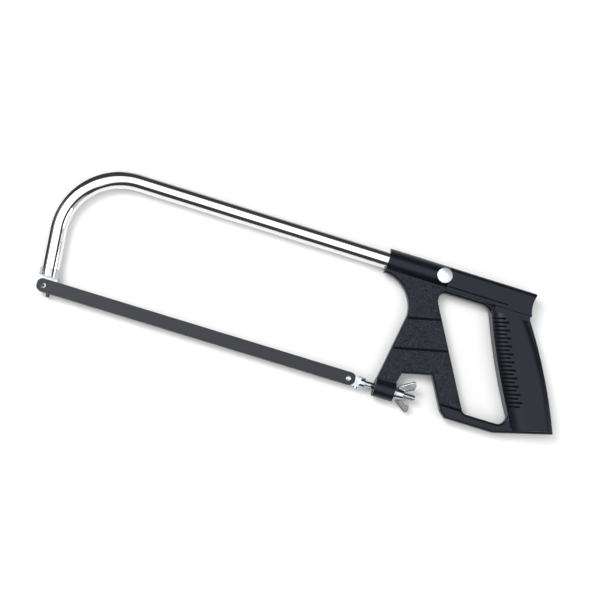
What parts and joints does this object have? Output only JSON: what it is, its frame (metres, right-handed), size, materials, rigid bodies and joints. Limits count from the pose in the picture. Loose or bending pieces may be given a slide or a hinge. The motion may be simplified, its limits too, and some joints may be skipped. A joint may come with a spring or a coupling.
{
  "type": "hacksaw",
  "caption": "Hacksaw with a bent tube frame, a closed pistol grip, a pinned blade and a wing nut on a tension bolt that pulls the blade tight.",
  "frame": {"origin": "centre of the bounding box's bottom face; the saw lies on its side on that face", "axes": "+X along the blade from the front pin to the handle, +Y from the blade to the top tube, +Z through the thickness, up from the surface it lies on"},
  "size_m": [0.5162, 0.147, 0.026],
  "materials": {
    "bright_tube": "polished plating",
    "zinc": "bright zinc plating",
    "blade_steel": "satin dark grey enamel",
    "black_casting": "black hammered paint",
    "rivet_alloy": "satin"
  },
  "bodies": {
    "frame": {"frame_tube": "bright_tube", "front_spigot": "zinc", "front_blade_pin": "zinc", "front_flat_pin": "zinc", "handle": "black_casting", "tube_rivet": "rivet_alloy", "washer": "zinc"},
    "tensioner": {"tension_bolt": "zinc", "rear_blade_pin": "zinc", "rear_flat_pin": "zinc"},
    "nut": {"wing_nut": "zinc"},
    "saw_blade": {"blade": "blade_steel"}
  },
  "joints": [
    {"name": "wing_nut_turn", "type": "hinge", "parent": "frame", "child": "nut", "pos_m": [0.10932, -0.05815, 0.013], "axis": [1, 0, 0], "range_deg": [0, 360]},
    {"name": "tension_slide", "type": "slide", "parent": "frame", "child": "tensioner", "axis": [1, 0, 0], "range_m": [-0.0011, 0]},
    {"name": "blade_lift", "type": "slide", "parent": "frame", "child": "saw_blade", "axis": [0, 0, 1], "range_m": [0, 0.035]}
  ],
  "couplings": [
    {"joint": "tension_slide", "follows": "wing_nut_turn", "m_per_rad": -0.00015915}
  ]
}
